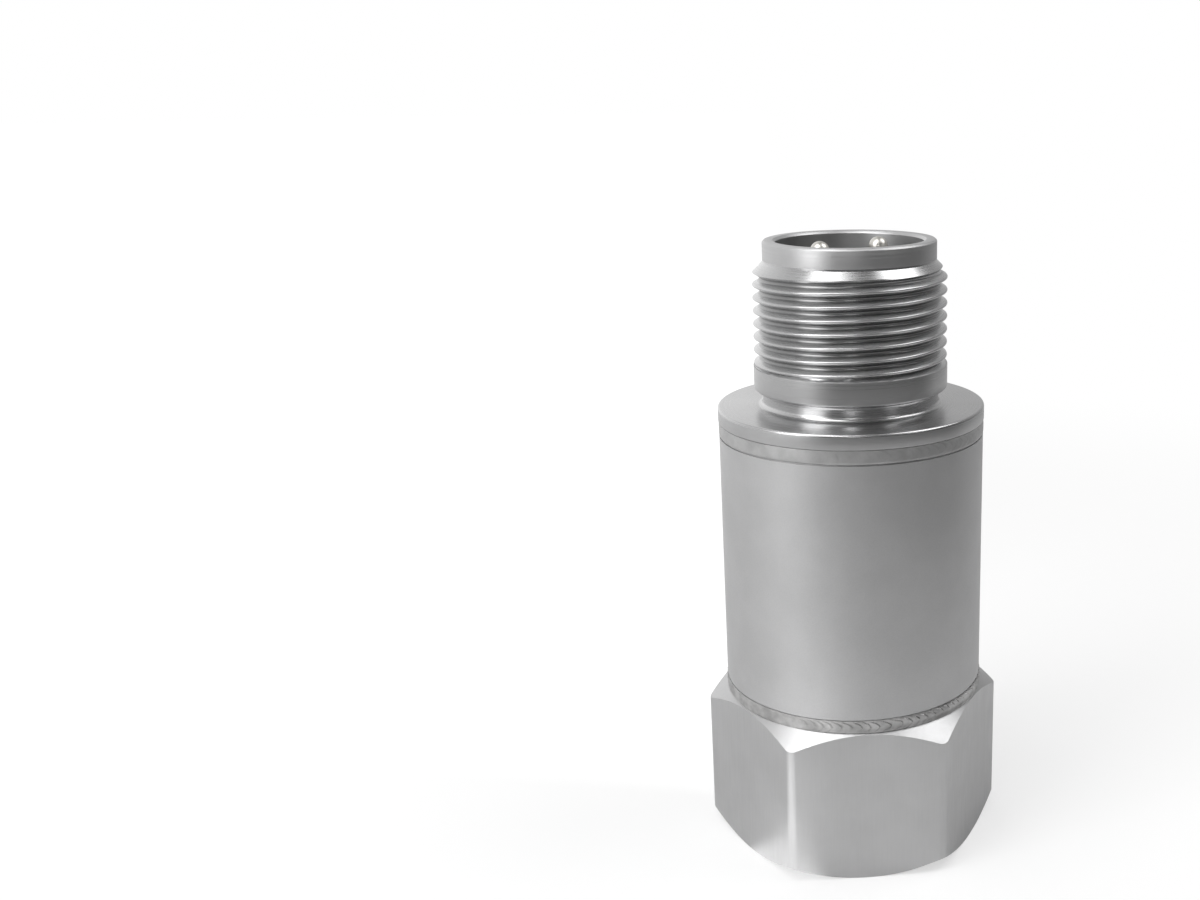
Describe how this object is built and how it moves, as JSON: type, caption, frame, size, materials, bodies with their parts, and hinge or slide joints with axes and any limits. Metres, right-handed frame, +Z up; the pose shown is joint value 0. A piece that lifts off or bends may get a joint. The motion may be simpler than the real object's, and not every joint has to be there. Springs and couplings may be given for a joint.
{
  "type": "vibration sensor",
  "caption": "Stainless steel vibration sensor with a hexagonal base, a round welded housing and a threaded pin connector on top, for bolting to a machine.",
  "frame": {"origin": "on the sensor's axis, in the mounting face under the hexagonal base", "axes": "+Z up along the axis to the connector's rim; +Y square to a flat of the hexagon, and -Y faces the viewer of the picture within a few degrees; +X along a corner"},
  "size_m": [0.025, 0.022, 0.0512],
  "materials": {
    "base_steel": "bead-blasted satin stainless steel",
    "sleeve_steel": "bead-blasted satin stainless steel",
    "cap_steel": "turned stainless steel",
    "weld_steel": "rippled weld",
    "seal_glass": "dark opaque sealing glass",
    "contact_metal": "silver plated",
    "insulating_plastic": "moulded",
    "ceramic": "fired",
    "electrode_brass": "stamped",
    "crystal": "ground",
    "heavy_alloy": "turned heavy alloy",
    "spring_steel": "hardened",
    "can_steel": "drawn",
    "board_laminate": "solder resist",
    "chip_plastic": "moulded",
    "capacitor_plastic": "moulded",
    "lead_jacket": "extruded"
  },
  "bodies": {
    "root": {"hex_base": "base_steel", "housing_sleeve": "sleeve_steel", "connector_cap": "cap_steel", "lower_weld": "weld_steel", "upper_weld": "weld_steel", "glass_seal": "seal_glass", "contact_pin_a": "contact_metal", "contact_pin_b": "contact_metal", "post_bush": "insulating_plastic", "insulator_ring": "ceramic", "ground_electrode": "electrode_brass", "lower_crystal": "crystal", "signal_electrode": "electrode_brass", "upper_crystal": "crystal", "seismic_mass": "heavy_alloy", "spring_washer": "spring_steel", "preload_nut": "spring_steel", "shield_can": "can_steel", "board_spacer": "insulating_plastic", "amplifier_board": "board_laminate", "amplifier_chip": "chip_plastic", "filter_capacitor": "capacitor_plastic", "bias_resistors": "ceramic", "ground_lead": "lead_jacket", "signal_lead": "lead_jacket", "output_lead_a": "lead_jacket", "output_lead_b": "lead_jacket"}
  },
  "joints": []
}
